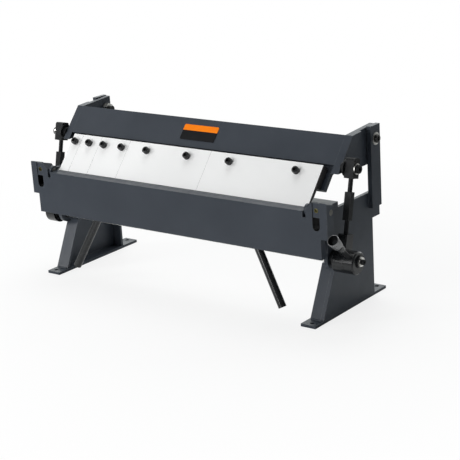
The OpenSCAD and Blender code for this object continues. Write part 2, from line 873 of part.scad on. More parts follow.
module turnbuckle_sleeve()
  on_link()
    difference() {
      slab([-sleeve_w / 2, -sleeve_w / 2, sleeve_z],
           [sleeve_w / 2, sleeve_w / 2, sleeve_z + sleeve_len]);
      translate([0, 0, sleeve_z - 1])
        cylinder(h = sleeve_len + 2, r = rod_d / 2 + fit);
    }
module turnbuckle_sleeve_right() color(dark) turnbuckle_sleeve();
module turnbuckle_sleeve_left() color(dark) left() turnbuckle_sleeve();

module link_eye()
  on_link()
    difference() {
      union() {
        round_x(-eye_w / 2, eye_w / 2, eye_d / 2, 0, 0);
        slab([-link_w / 2, -low_block / 2, 0], [link_w / 2, low_block / 2, low_block_top]);
      }
      round_x(-eye_w, eye_w, journal_d / 2 + eye_play, 0, 0);
      translate([0, 0, low_block_top - rod_in])
        cylinder(h = rod_in + 1, r = rod_d / 2 + fit);
    }
module link_eye_right() color(dark) link_eye();
module link_eye_left() color(dark) left() link_eye();

// Eccentric shaft: turned down at both ends, where the eccentrics and the lever hub are fixed
shaft_step = plate_out + bush_len - side_fit;
ecc_in = plate_out + bush_len;
ecc_out = eye_out + side_fit;
module eccentric_shaft()
  color(steel)
    union() {
      round_x(-shaft_step, shaft_step, shaft_d / 2, -shaft_y, shaft_z);
      round_x(-ecc_out, collar_out, shaft_end_d / 2, -shaft_y, shaft_z);
    }
module eccentric()
  difference() {
    round_x(ecc_in, ecc_out, journal_d / 2, jy, jz);
    round_x(ecc_in - 1, ecc_out + 1, shaft_end_d / 2 + fit, -shaft_y, shaft_z);
  }
module eccentric_right() color(dark) eccentric();
module eccentric_left() color(dark) left() eccentric();

// Hand lever: a hub beside the right eye, a rod screwed into it and a conical grip
hub_in = eye_out + 2 * side_fit;
collar_out = hub_out + collar_len;
rod_seat = shaft_end_d / 2 + throw + 2;
module lever_hub()
  color(dark)
    difference() {
      union() {
        round_x(hub_in, hub_out - hub_cut, eye_d / 2, jy, jz);
        translate([hub_out - hub_cut, jy, jz])
          rotate([0, 90, 0])
            cylinder(h = hub_cut, r1 = eye_d / 2, r2 = eye_d / 2 - hub_cut);
        round_x(hub_out - 1, collar_out, shaft_end_d / 2 + 3, -shaft_y, shaft_z);
      }
      round_x(hub_in - 1, collar_out + 1, shaft_end_d / 2 + fit, -shaft_y, shaft_z);
      on_lever()
        translate([0, 0, rod_seat])
          cylinder(h = eye_d, r = lever_d / 2 + fit);
    }
grip_z = lever_len - grip_len;
grip_hollow = 8;
grip_wall = 1.5;
module lever_rod()
  color(steel)
    on_lever()
      translate([0, 0, rod_seat])
        cylinder(h = lever_len - grip_hollow - rod_seat, r = lever_d / 2);
module lever_grip()
  color(dark)
    on_lever()
      difference() {
        translate([0, 0, grip_z])
          cylinder(h = grip_len, r1 = grip_neck_d / 2, r2 = grip_d / 2);
        translate([0, 0, grip_z - 1])
          cylinder(h = grip_len + 2, r = lever_d / 2 + fit);
        translate([0, 0, lever_len - grip_hollow])
          cylinder(h = grip_hollow + 1, r = grip_d / 2 - 2 * grip_wall);
      }

// Shaft ends: a screw and a washer hold the hub on the right and the eccentric on the left
module shaft_end_screws()
  color(dark) {
    round_x(collar_out + washer_t, collar_out + washer_t + end_head_h, end_head_d / 2, -shaft_y,
            shaft_z);
    left()
      round_x(ecc_out + washer_t, ecc_out + washer_t + left_head_h, end_head_d / 2, -shaft_y,
              shaft_z);
  }
module shaft_end_washers()
  color(dark) {
    round_x(collar_out, collar_out + washer_t, end_washer_d / 2, -shaft_y, shaft_z);
    left()
      round_x(ecc_out, ecc_out + washer_t, end_washer_d / 2, -shaft_y, shaft_z);
  }

foot_right();
foot_left();
side_plate_right();
side_plate_left();
leg_flanges_right();
leg_flanges_left();
upright_right();
upright_left();
bed_plate();
bed_front_web();
bed_rear_web();
hinge_bracket_right();
hinge_bracket_left();
shaft_bush_right();
shaft_bush_left();
pivot_bolts();
pivot_washers();
pivot_thrust_washers();
pivot_nuts();
folding_leaf();
pivot_block_right();
pivot_block_left();
hinge_pin_right();
hinge_pin_left();
pivot_block_screws();
leaf_handle_right();
leaf_handle_left();
beam_face();
beam_arm_right();
beam_arm_left();
finger_carrier();
finger_1();
finger_2();
finger_3();
finger_4();
finger_5();
finger_screws();
blank_plate();
blank_plate_band();
link_studs();
stud_spacers();
stud_washers();
link_block_right();
link_block_left();
turnbuckle_rods_right();
turnbuckle_rods_left();
turnbuckle_sleeve_right();
turnbuckle_sleeve_left();
link_eye_right();
link_eye_left();
eccentric_shaft();
eccentric_right();
eccentric_left();
lever_hub();
lever_rod();
lever_grip();
shaft_end_screws();
shaft_end_washers();
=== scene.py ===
import bmesh
import bpy
import math
from mathutils import Matrix, Vector


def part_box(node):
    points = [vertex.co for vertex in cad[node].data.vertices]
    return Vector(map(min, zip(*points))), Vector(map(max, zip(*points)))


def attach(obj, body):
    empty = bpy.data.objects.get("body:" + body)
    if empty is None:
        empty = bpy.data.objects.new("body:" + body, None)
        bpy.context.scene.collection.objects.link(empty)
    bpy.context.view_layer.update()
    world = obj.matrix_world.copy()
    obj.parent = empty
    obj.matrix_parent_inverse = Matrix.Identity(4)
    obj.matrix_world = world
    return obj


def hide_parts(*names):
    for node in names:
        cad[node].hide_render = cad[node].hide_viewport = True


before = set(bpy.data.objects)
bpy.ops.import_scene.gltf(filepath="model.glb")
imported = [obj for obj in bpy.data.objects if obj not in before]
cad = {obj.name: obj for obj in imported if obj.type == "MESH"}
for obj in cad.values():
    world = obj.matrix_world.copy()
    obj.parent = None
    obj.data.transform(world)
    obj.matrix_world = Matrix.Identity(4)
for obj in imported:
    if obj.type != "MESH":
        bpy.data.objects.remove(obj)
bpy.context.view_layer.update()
scene = bpy.context.scene
scene.view_settings.view_transform = "Standard"


# Camera. Fitted to the photograph: it stands to the right and in front, a little above the
# brake, and is rolled by three and a half degrees, as the photograph is.
PHOTO_SIDE = 460
CAMERA_PLACE = Vector((1.80491, -2.22147, 1.00451))
CAMERA_AZIMUTH = math.radians(38.175)
CAMERA_ELEVATION = math.radians(18.265)
CAMERA_ROLL = math.radians(-3.574)
FOCAL_PIXELS = 1373.65
CENTRE_PIXEL_Y = 253.0

look = Vector((
    -math.sin(CAMERA_AZIMUTH) * math.cos(CAMERA_ELEVATION),
    math.cos(CAMERA_AZIMUTH) * math.cos(CAMERA_ELEVATION),
    -math.sin(CAMERA_ELEVATION),
))
level = Vector((math.cos(CAMERA_AZIMUTH), math.sin(CAMERA_AZIMUTH), 0.0))
upright = level.cross(look)
right = math.cos(CAMERA_ROLL) * level + math.sin(CAMERA_ROLL) * upright
up = math.cos(CAMERA_ROLL) * upright - math.sin(CAMERA_ROLL) * level
camera_data = bpy.data.cameras.new("photo_camera")
camera_data.sensor_width = 36.0
camera_data.lens = FOCAL_PIXELS * camera_data.sensor_width / PHOTO_SIDE
camera_data.shift_y = (CENTRE_PIXEL_Y - PHOTO_SIDE / 2) / PHOTO_SIDE
camera = bpy.data.objects.new("photo_camera", camera_data)
scene.collection.objects.link(camera)
camera.matrix_world = Matrix.Translation(CAMERA_PLACE) @ Matrix((
    (right.x, up.x, -look.x),
    (right.y, up.y, -look.y),
    (right.z, up.z, -look.z),
)).to_4x4()
scene.camera = camera


# Studio. A white sweep of paper under and around the brake, lit by three large soft boxes. The
# paper shows white to the camera, greyer in the metal, and keeps a soft shadow.
def shader_tree(name):
    """A new material with nothing in its tree."""
    material = bpy.data.materials.new(name)
    material.use_nodes = True
    material.node_tree.nodes.clear()
    return material, material.node_tree.nodes, material.node_tree.links


def spread(tree, links, value, low, high, out_low, out_high):
    """Maps low to high onto out_low to out_high, and holds what lies outside."""
    ranged = tree.new("ShaderNodeMapRange")
    ranged.inputs["From Min"].default_value = low
    ranged.inputs["From Max"].default_value = high
    ranged.inputs["To Min"].default_value = out_low
    ranged.inputs["To Max"].default_value = out_high
    links.new(value, ranged.inputs["Value"])
    return ranged.outputs["Result"]


def multiply(tree, links, first, second):
    """The product of two sockets, or of a socket and a plain number."""
    product = tree.new("ShaderNodeMath")
    product.operation = "MULTIPLY"
    links.new(first, product.inputs[0])
    if isinstance(second, float):
        product.inputs[1].default_value = second
    else:
        links.new(second, product.inputs[1])
    return product.outputs[0]


PAPER_TONE = 0.86
PAPER_NEAR = 0.45
PAPER_FAR = 1.1
MIRRORED_FAR = 0.90


def paper_material():
    """Plain paper near the brake that fades to white for the camera, and dims in the metal."""
    material, tree, links = shader_tree("white_paper")
    out = tree.new("ShaderNodeOutputMaterial")
    mix = tree.new("ShaderNodeMixShader")
    paper = tree.new("ShaderNodeBsdfDiffuse")
    glow = tree.new("ShaderNodeEmission")
    rays = tree.new("ShaderNodeLightPath")
    surface = tree.new("ShaderNodeNewGeometry")
    away = tree.new("ShaderNodeVectorMath")
    away.operation = "LENGTH"
    links.new(surface.outputs["Position"], away.inputs[0])
    mirrored = spread(
        tree, links, away.outputs["Value"], PAPER_NEAR, MIRRORED_FAR, 0.95, 0.36
    )
    shade = tree.new("ShaderNodeMapRange")
    shade.inputs["To Min"].default_value = PAPER_TONE
    links.new(mirrored, shade.inputs["To Max"])
    links.new(rays.outputs["Is Glossy Ray"], shade.inputs["Value"])
    links.new(shade.outputs["Result"], paper.inputs["Color"])
    white = spread(tree, links, away.outputs["Value"], PAPER_NEAR, PAPER_FAR, 0.80, 1.0)
    glow.inputs["Color"].default_value = (1.0, 1.0, 1.0, 1)
    glow.inputs["Strength"].default_value = 1.0
    links.new(
        multiply(tree, links, rays.outputs["Is Camera Ray"], white), mix.inputs["Fac"]
    )
    links.new(paper.outputs[0], mix.inputs[1])
    links.new(glow.outputs[0], mix.inputs[2])
    links.new(mix.outputs[0], out.inputs["Surface"])
    return material


floor_mesh = bpy.data.meshes.new("floor")
FLOOR_HALF = 9
floor_mesh.from_pydata(
    [(x, y, 0) for x, y in (
        (-FLOOR_HALF, -FLOOR_HALF), (FLOOR_HALF, -FLOOR_HALF),
        (FLOOR_HALF, FLOOR_HALF), (-FLOOR_HALF, FLOOR_HALF),
    )], [], [(0, 1, 2, 3)]
)
floor = bpy.data.objects.new("floor", floor_mesh)
scene.collection.objects.link(floor)
floor_mesh.materials.append(paper_material())

# The room is white behind the brake on its left and dim in front and on its right, so that
# level edges catch light and the right-hand sides stay dark.
BRIGHT_SIDE = (-0.50, 0.86, 0.10)
ROOM_DIM = 0.10
ROOM_BRIGHT = 1.9
world = bpy.data.worlds.new("studio")
scene.world = world
world.use_nodes = True
sky = world.node_tree.nodes
sky.clear()
sky_links = world.node_tree.links
sky_out = sky.new("ShaderNodeOutputWorld")
sky_mix = sky.new("ShaderNodeMixShader")
sky_room = sky.new("ShaderNodeBackground")
sky_white = sky.new("ShaderNodeBackground")
sky_rays = sky.new("ShaderNodeLightPath")
sky_place = sky.new("ShaderNodeTexCoord")
sky_towards = sky.new("ShaderNodeVectorMath")
sky_towards.operation = "DOT_PRODUCT"
sky_towards.inputs[1].default_value = BRIGHT_SIDE
sky_room.inputs["Color"].default_value = (0.95, 0.98, 0.97, 1)
sky_white.inputs["Color"].default_value = (1.0, 1.0, 1.0, 1)
sky_white.inputs["Strength"].default_value = 1.0
sky_links.new(sky_place.outputs["Generated"], sky_towards.inputs[0])
sky_links.new(
    spread(sky, sky_links, sky_towards.outputs["Value"], 0.0, 0.85, ROOM_DIM, ROOM_BRIGHT),
    sky_room.inputs["Strength"]
)
sky_links.new(sky_rays.outputs["Is Camera Ray"], sky_mix.inputs["Fac"])
sky_links.new(sky_room.outputs[0], sky_mix.inputs[1])
sky_links.new(sky_white.outputs[0], sky_mix.inputs[2])
sky_links.new(sky_mix.outputs[0], sky_out.inputs["Surface"])

LAMP_AIM = Vector((0, 0, 0.18))
SOFT_BOXES = [
    ("key_box", (-2.5, -1.9, 1.4), 1.2, 38.0),
    ("front_box", (-0.5, -2.8, 0.9), 1.2, 30.0),
    ("top_box", (-0.5, 0.8, 2.6), 1.4, 22.0),
]
for box_name, place, side, power in SOFT_BOXES:
    lamp_data = bpy.data.lights.new(box_name, "AREA")
    lamp_data.shape = "SQUARE"
    lamp_data.size = side
    lamp_data.energy = power
    lamp = bpy.data.objects.new(box_name, lamp_data)
    scene.collection.objects.link(lamp)
    lamp.location = place
    lamp.rotation_mode = "QUATERNION"
    lamp.rotation_quaternion = (LAMP_AIM - Vector(place)).to_track_quat("-Z", "Y")


# Frame: feet, side plates, leg flanges and uprights. Mild steel plate, cut, welded and sprayed
# with a dark slate enamel; its sharp edges are painted lighter, partly worn paint, partly a
# painted highlight.
def finish_tree(name, rough, metallic=0.0, coat=0.0):
    """A new material with its shader, and the socket that says where on the piece a point is."""
    material, tree, links = shader_tree(name)
    out = tree.new("ShaderNodeOutputMaterial")
    shader = tree.new("ShaderNodeBsdfPrincipled")
    shader.inputs["Roughness"].default_value = rough
    shader.inputs["Metallic"].default_value = metallic
    shader.inputs["Coat Weight"].default_value = coat
    place = tree.new("ShaderNodeTexCoord")
    links.new(shader.outputs[0], out.inputs["Surface"])
    return material, tree, links, shader, place.outputs["Object"]


def grain(tree, links, place, scale, detail=4.0, stretch=(1, 1, 1)):
    """Noise of the given scale, finer along an axis that stretch makes larger."""
    mapping = tree.new("ShaderNodeMapping")
    mapping.inputs["Scale"].default_value = stretch
    noise = tree.new("ShaderNodeTexNoise")
    noise.inputs["Scale"].default_value = scale
    noise.inputs["Detail"].default_value = detail
    links.new(place, mapping.inputs["Vector"])
    links.new(mapping.outputs[0], noise.inputs["Vector"])
    return noise.outputs["Fac"]


def mottle(tree, links, place, scale, low=0.0, high=1.0):
    """Soft clouds of the given scale, as a value from low to high."""
    return spread(tree, links, grain(tree, links, place, scale), 0.3, 0.7, low, high)


def blend_colours(tree, links, share, first, second):
    """Mixes two colours, each of them a plain one or a socket."""
    mix = tree.new("ShaderNodeMix")
    mix.data_type = "RGBA"
    for socket, colour in ((mix.inputs[6], first), (mix.inputs[7], second)):
        if isinstance(colour, tuple):
            socket.default_value = (*colour, 1)
        else:
            links.new(colour, socket)
    links.new(share, mix.inputs[0])
    return mix.outputs[2]


def relief(tree, links, height, strength, depth, shader):
    """Gives the shader a fine relief from a height."""
    bump = tree.new("ShaderNodeBump")
    bump.inputs["Strength"].default_value = strength
    bump.inputs["Distance"].default_value = depth
    links.new(height, bump.inputs["Height"])
    links.new(bump.outputs[0], shader.inputs["Normal"])


def edge_share(tree, links, radius, low, high):
    """How near a sharp edge is, from 0 on a flat to 1 on the edge."""
    rounded = tree.new("ShaderNodeBevel")
    rounded.samples = 4
    rounded.inputs["Radius"].default_value = radius
    surface = tree.new("ShaderNodeNewGeometry")
    compare = tree.new("ShaderNodeVectorMath")
    compare.operation = "DOT_PRODUCT"
    links.new(rounded.outputs[0], compare.inputs[0])
    links.new(surface.outputs["Normal"], compare.inputs[1])
    return spread(tree, links, compare.outputs["Value"], high, low, 0.0, 1.0)


def slate_enamel(name="slate_enamel"):
    material, tree, links, shader, place = finish_tree(name, 0.3, coat=0.06)
    shader.inputs["Coat Roughness"].default_value = 0.25
    shader.inputs["Specular IOR Level"].default_value = 0.2
    body = blend_colours(
        tree, links, mottle(tree, links, place, 7.0),
        (0.035, 0.042, 0.054), (0.045, 0.053, 0.067)
    )
    # Sharp edges are painted a light greenish grey: partly worn paint, partly a painted highlight
    # where edges catch the light.
    edge = edge_share(tree, links, 0.0012, 0.80, 0.995)
    chips = spread(tree, links, grain(tree, links, place, 180.0), 0.42, 0.62, 0.10, 0.60)
    wear_and_edge_highlight = multiply(tree, links, edge, chips)
    coloured = blend_colours(tree, links, wear_and_edge_highlight, body, (0.16, 0.18, 0.175))
    links.new(coloured, shader.inputs["Base Color"])
    links.new(mottle(tree, links, place, 35.0, 0.36, 0.48), shader.inputs["Roughness"])
    relief(tree, links, grain(tree, links, place, 520.0, 2.0), 0.18, 0.0001, shader)
    return material


ENAMEL = slate_enamel()


def dress(names, material, rounding=0.0):
    """Gives CAD nodes their finish, and rounds their sharp edges a little."""
    for name in names:
        piece = cad[name]
        for material_slot in piece.material_slots:
            material_slot.material = material
        if rounding:
            edge = piece.modifiers.new("broken_edge", "BEVEL")
            edge.width = rounding
            edge.segments = 2
            edge.limit_method = "ANGLE"
            edge.angle_limit = math.radians(40)
            edge.use_clamp_overlap = True


SIDES = ("right", "left")
dress([f"foot_{side}" for side in SIDES], ENAMEL, 0.0007)
dress([f"side_plate_{side}" for side in SIDES], ENAMEL, 0.0007)
dress([f"leg_flanges_{side}" for side in SIDES], ENAMEL, 0.0007)
dress([f"upright_{side}" for side in SIDES], ENAMEL, 0.0008)


# Weld beads on the frame. Each is a row of overlapping ripples laid along a corner, painted over
# with the enamel.
def mesh_piece(name, mesh, material, body):
    """One dressed piece from a mesh, carried by its body."""
    piece = bpy.data.objects.new(name, mesh)
    scene.collection.objects.link(piece)
    mesh.materials.append(material)
    for face in mesh.polygons:
        face.use_smooth = True
    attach(piece, body)
    return piece


BEAD_CORNERS = 10
BEAD_TAPER = 0.0834


def bead_rings(shape, start, end, radius, ripple=0.0022):
    """Adds one bead to shape: a tube along start to end whose radius swells at each ripple."""
    start, end = Vector(start), Vector(end)
    along = end - start
    steps = max(6, int(along.length / ripple) * 4)
    side = along.orthogonal().normalized()
    other = along.normalized().cross(side)
    rings = []
    for step in range(steps + 1):
        share = step / steps
        phase = (share * along.length / ripple) % 1.0
        swell = radius * (0.80 + 0.20 * math.sqrt(max(0.0, 1 - (phase - 0.5) ** 2 * 3.4)))
        from_end = min(share, 1 - share)
        tip = 1.0
        if from_end < BEAD_TAPER:
            tip = min(1.0, math.sin(math.pi * from_end * 6) + 0.25)
        ring = []
        for corner in range(BEAD_CORNERS):
            angle = 2 * math.pi * corner / BEAD_CORNERS
            offset = side * math.cos(angle) + other * math.sin(angle)
            ring.append(shape.verts.new(start + along * share + offset * swell * tip))
        rings.append(ring)
    for first, second in zip(rings, rings[1:]):
        for corner in range(BEAD_CORNERS):
            following = (corner + 1) % BEAD_CORNERS
            shape.faces.new((first[corner], first[following], second[following], second[corner]))
    shape.faces.new(list(reversed(rings[0])))
    shape.faces.new(rings[-1])


def shape_mesh(name, shape):
    """Turns a finished shape into a mesh with its faces outward."""
    bmesh.ops.recalc_face_normals(shape, faces=shape.faces)
    mesh = bpy.data.meshes.new(name)
    shape.to_mesh(mesh)
    shape.free()
    return mesh


def weld(name, runs, radius, body):
    """One piece with a bead for each run, on both sides of the machine."""
    shape = bmesh.new()
    for start, end in runs:
        for hand in (1, -1):
            bead_rings(
                shape,
                (start[0] * hand, start[1], start[2]),
                (end[0] * hand, end[1], end[2]),
                radius,
            )
    return mesh_piece(name, shape_mesh(name, shape), ENAMEL, body)


plate_low, plate_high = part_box("side_plate_right")
lug_low, lug_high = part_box("upright_right")
foot_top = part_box("foot_right")[1].z
flange_low, flange_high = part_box("leg_flanges_right")
BEAD = 0.0022
UPRIGHT_BEAD = 0.0024
BEAD_SHORT = 0.002
FOOT_BEAD_FRONT = -0.090
FOOT_BEAD_REAR = 0.078
weld("upright_welds", [
    ((plate_high.x, lug_low.y, lug_low.z + BEAD_SHORT),
     (plate_high.x, lug_low.y, plate_high.z - BEAD_SHORT)),
    ((plate_high.x, lug_high.y, lug_low.z + BEAD_SHORT),
     (plate_high.x, lug_high.y, plate_high.z - BEAD_SHORT)),
    ((plate_high.x, lug_low.y + BEAD_SHORT, plate_high.z),
     (plate_high.x, lug_high.y - BEAD_SHORT, plate_high.z)),
], UPRIGHT_BEAD, "frame")
weld("foot_welds", [
    ((plate_low.x, FOOT_BEAD_FRONT, foot_top), (plate_low.x, FOOT_BEAD_REAR, foot_top)),
    ((flange_low.x + BEAD_SHORT, flange_high.y, foot_top),
     (plate_high.x - BEAD_SHORT, flange_high.y, foot_top)),
    ((flange_low.x + BEAD_SHORT, plate_low.y, foot_top),
     (plate_high.x - BEAD_SHORT, plate_low.y, foot_top)),
], BEAD, "frame")


# Bed: plate, webs and hinge brackets. Steel bars welded into a box section and machined along
# the front edge; the brackets hold the leaf's hinge pins.
dress(["bed_plate", "bed_front_web", "bed_rear_web"], ENAMEL, 0.0006)
dress([f"hinge_bracket_{side}" for side in SIDES], ENAMEL, 0.0004)
bed_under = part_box("bed_plate")[0].z
web_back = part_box("bed_front_web")[1].y
rear_low, rear_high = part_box("bed_rear_web")
BED_STITCHES = ((0.02, 0.10), (0.16, 0.24))
WEB_BEAD_SHORT = 0.004
weld("bed_welds", [
    ((first, web_back, bed_under), (last, web_back, bed_under))
    for first, last in BED_STITCHES
] + [
    ((plate_low.x, y, rear_low.z + WEB_BEAD_SHORT),
     (plate_low.x, y, rear_high.z - WEB_BEAD_SHORT))
    for y in (rear_high.y, rear_low.y)
], BEAD, "frame")


# Shaft, washers, nuts and hinge pins. Turned from bright bar and lightly oiled; the pins' ends
# are rounded, and dull from handling.
def turned_steel(name, dull, clean):
    material, tree, links, shader, place = finish_tree(name, 0.3, metallic=1.0)
    cloud = mottle(tree, links, place, 60.0)
    links.new(blend_colours(tree, links, cloud, dull, clean), shader.inputs["Base Color"])
    lines = grain(tree, links, place, 30.0, 2.0, (60.0, 1.0, 1.0))
    links.new(spread(tree, links, lines, 0.3, 0.7, 0.22, 0.40), shader.inputs["Roughness"])
    relief(tree, links, lines, 0.15, 0.00005, shader)
    return material


BRIGHT = turned_steel("turned_steel", (0.72, 0.71, 0.68), (0.85, 0.84, 0.81))
DULL = turned_steel("dull_steel", (0.13, 0.13, 0.12), (0.24, 0.235, 0.22))
dress(
    ["pivot_washers", "pivot_thrust_washers", "pivot_nuts", "eccentric_shaft",
     "stud_washers", "shaft_end_washers"],
    BRIGHT, 0.0004
)
dress([f"hinge_pin_{side}" for side in SIDES], DULL, 0.0015)


# Folding leaf and pivot blocks. The leaf is a thick bar machined flat, with an ear at each end
# that is slotted for its pivot block; both are sprayed with the frame's enamel, and the slots'
# walls are painted near black as painted shade.
LEAF_SLOT_AT = 0.3715
LEAF_SLOT_HALF = 0.0088
LEAF_SLOT_LOW = 0.195


def shade_painted_slots(material):
    """Paints the walls of the ears' slots near black and unreflective: painted shade in the deep
    slots.
    """
    tree, links = material.node_tree.nodes, material.node_tree.links
    shader = next(node for node in tree if node.type == "BSDF_PRINCIPLED")
    painted = shader.inputs["Base Color"].links[0].from_socket
    aspect = tree.new("ShaderNodeTexCoord")
    place = tree.new("ShaderNodeSeparateXYZ")
    facing = tree.new("ShaderNodeSeparateXYZ")
    links.new(aspect.outputs["Object"], place.inputs[0])
    links.new(aspect.outputs["Normal"], facing.inputs[0])
    share = None
    for source, steps in (
        (place.outputs["X"], (("ABSOLUTE", 0.0), ("SUBTRACT", LEAF_SLOT_AT), ("ABSOLUTE", 0.0),
                              ("LESS_THAN", LEAF_SLOT_HALF))),
        (place.outputs["Z"], (("GREATER_THAN", LEAF_SLOT_LOW),)),
        (facing.outputs["Y"], (("ABSOLUTE", 0.0), ("LESS_THAN", 0.5))),
    ):
        for operation, amount in steps:
            step = tree.new("ShaderNodeMath")
            step.operation = operation
            step.inputs[1].default_value = amount
            links.new(source, step.inputs[0])
            source = step.outputs[0]
        share = source if share is None else multiply(tree, links, share, source)
    # The slot walls get a near-black colour and full metallic: painted shade in the deep slots.
    links.new(
        blend_colours(tree, links, share, painted, (0.004, 0.004, 0.005)),
        shader.inputs["Base Color"]
    )
    links.new(share, shader.inputs["Metallic"])
    return material


dress(["folding_leaf"], shade_painted_slots(slate_enamel("leaf_enamel_slot_shade")), 0.0009)
dress([f"pivot_block_{side}" for side in SIDES], ENAMEL, 0.0006)


# Socket head screws. Forged and knurled heads with a hexagon socket, black oxide except for the
# two zinc plated ones in the pivot blocks.
def oxide_black(name="oxide_black", gloss=0.15, smooth=0.40, rough=0.56):
    material, tree, links, shader, place = finish_tree(name, rough, metallic=0.1)
    shader.inputs["Specular IOR Level"].default_value = gloss
    cloud = mottle(tree, links, place, 90.0)
    # Sharp edges are painted a lighter grey: partly worn oxide, partly a painted highlight.
    edge = edge_share(tree, links, 0.0007, 0.80, 0.99)
    body = blend_colours(tree, links, cloud, (0.009, 0.010, 0.011), (0.018, 0.019, 0.021))
    wear_and_edge_highlight = multiply(tree, links, edge, 0.35)
    links.new(
        blend_colours(tree, links, wear_and_edge_highlight, body, (0.20, 0.20, 0.20)),
        shader.inputs["Base Color"]
    )
    links.new(mottle(tree, links, place, 140.0, smooth, rough), shader.inputs["Roughness"])
    relief(tree, links, grain(tree, links, place, 900.0, 2.0), 0.2, 0.00008, shader)
    return material


def zinc_plate():
    material, tree, links, shader, place = finish_tree("zinc_plate", 0.35, metallic=1.0)
    cloud = mottle(tree, links, place, 200.0)
    links.new(
        blend_colours(tree, links, cloud, (0.07, 0.065, 0.030), (0.14, 0.125, 0.055)),
        shader.inputs["Base Color"]
    )
    links.new(spread(tree, links, cloud, 0.0, 1.0, 0.28, 0.42), shader.inputs["Roughness"])
    return material


SCREW_BLACK = oxide_black("screw_black", 0.6, 0.20, 0.32)
ZINC = zinc_plate()


def ring_of(shape, radius, height, count, knurl=0.0):
    """Adds a level ring of points to shape; a knurl draws every second one inward."""
    ring = []
    for step in range(count):
        angle = 2 * math.pi * step / count
        reach = radius * (1 - knurl * (step % 2))
        ring.append(shape.verts.new((reach * math.cos(angle), reach * math.sin(angle), height)))
    return ring


def band(shape, lower, higher):
    """Joins two rings of as many points with a band of faces."""
    count = len(lower)
    return [
        shape.faces.new((lower[i], lower[(i + 1) % count], higher[(i + 1) % count], higher[i]))
        for i in range(count)
    ]


SCREW_CORNERS = 72
HEAD_CHAMFER = 0.12
SOCKET_FLOOR = 0.45
SOCKET_LEAD = 1.05


def socket_screw(shape, place, head_radius, head_height, shank_radius, shank_length,
                 socket_radius, knurl=0.045):
    """Adds one screw to shape. The head stands on +Z of place, the shank goes down -Z."""
    count = SCREW_CORNERS
    chamfer = head_height * HEAD_CHAMFER
    profile = [
        (shank_radius, -shank_length, 0.0),
        (shank_radius, 0.0, 0.0),
        (head_radius * 0.97, 0.0, 0.0),
        (head_radius, head_height * 0.06, knurl),
        (head_radius, head_height - chamfer, knurl),
        (head_radius - chamfer * 0.7, head_height - chamfer * 0.15, 0.0),
        (head_radius - chamfer, head_height, 0.0),
    ]
    rings = [ring_of(shape, r, z, count, k) for r, z, k in profile]
    faces = [shape.faces.new(list(reversed(rings[0])))]
    for lower, higher in zip(rings, rings[1:]):
        faces += band(shape, lower, higher)
    corners = []
    for depth in (head_height, head_height * SOCKET_FLOOR):
        ring = []
        for step in range(count):
            angle = 2 * math.pi * step / count
            within = (angle % (math.pi / 3)) - math.pi / 6
            reach = socket_radius * math.cos(math.pi / 6) / math.cos(within)
            if depth == head_height:
                reach *= SOCKET_LEAD
            ring.append(
                shape.verts.new((reach * math.cos(angle), reach * math.sin(angle), depth))
            )
        corners.append(ring)
    faces += band(shape, rings[-1], corners[0])
    faces += band(shape, corners[0], corners[1])
    faces.append(shape.faces.new(corners[1]))
    added = [v for ring in rings + corners for v in ring]
    bmesh.ops.transform(shape, matrix=place, verts=added)


def screw_set(name, places, sizes, material, body, node):
    """One piece of like screws. Sizes: head radius and height, shank radius and length, socket."""
    shape = bmesh.new()
    for place in places:
        socket_screw(shape, place, *sizes)
    piece = mesh_piece(name, shape_mesh(name, shape), material, body)
    sharp = piece.modifiers.new("crisp", "EDGE_SPLIT")
    sharp.split_angle = math.radians(38)
    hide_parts(node)
    return piece


pin_low, pin_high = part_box("hinge_pin_right")
slot_low, slot_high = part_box("pivot_block_right")
BLOCK_SCREW_UP = 0.004
BLOCK_HEAD_HIGH = 0.0036
BLOCK_SCREW = (0.0048, BLOCK_HEAD_HIGH, 0.003, 0.0035, 0.0026)
block_screw_z = (pin_low.z + pin_high.z) / 2 + BLOCK_SCREW_UP
block_screw_x = (slot_low.x + slot_high.x) / 2
screw_set(
    "leaf_block_screws",
    [Matrix.Translation((hand * block_screw_x, slot_low.y + BLOCK_HEAD_HIGH, block_screw_z))
     @ Matrix.Rotation(math.radians(90), 4, "X") for hand in (1, -1)],
    BLOCK_SCREW, ZINC, "leaf", "pivot_block_screws"
)


# Leaf handles. Two round bars, blackened, their turned ends painted a little lighter, partly worn
# and partly a painted highlight; they are welded to the leaf's lower edge and splay outward.
TURNED_BLACK = oxide_black("turned_black", 0.55, 0.15, 0.26)
dress([f"leaf_handle_{side}" for side in SIDES], TURNED_BLACK, 0.0012)


# Beam pivot bolts. A low cap head outside each upright, on a hardened washer; the shank passes
# through the upright and the beam's arm.
bolt_low, bolt_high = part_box("pivot_bolts")
washer_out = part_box("pivot_washers")[1].x
bolt_y = (bolt_low.y + bolt_high.y) / 2
bolt_z = (bolt_low.z + bolt_high.z) / 2
PIVOT_BOLT = (0.0086, 0.005, 0.008, 0.044, 0.0046)
side_on = Matrix.Rotation(math.radians(90), 4, "Y")
screw_set(
    "beam_pivot_bolts",
    [Matrix.Scale(hand, 4, (1, 0, 0))
     @ Matrix.Translation((washer_out, bolt_y, bolt_z)) @ side_on for hand in (1, -1)],
    PIVOT_BOLT, SCREW_BLACK, "frame", "pivot_bolts"
)


# Beam: face plate, arms and finger carrier. Steel plate, welded together and sprayed with the
# frame's enamel.
dress(["beam_face", "finger_carrier"], ENAMEL, 0.0007)
dress([f"beam_arm_{side}" for side in SIDES], ENAMEL, 0.0008)


# Fingers. Hardened steel, ground bright on the face, with the sides painted dark as painted shade;
# a soft sheen and a faint grind across the face.
LEAN = math.radians(41.2)


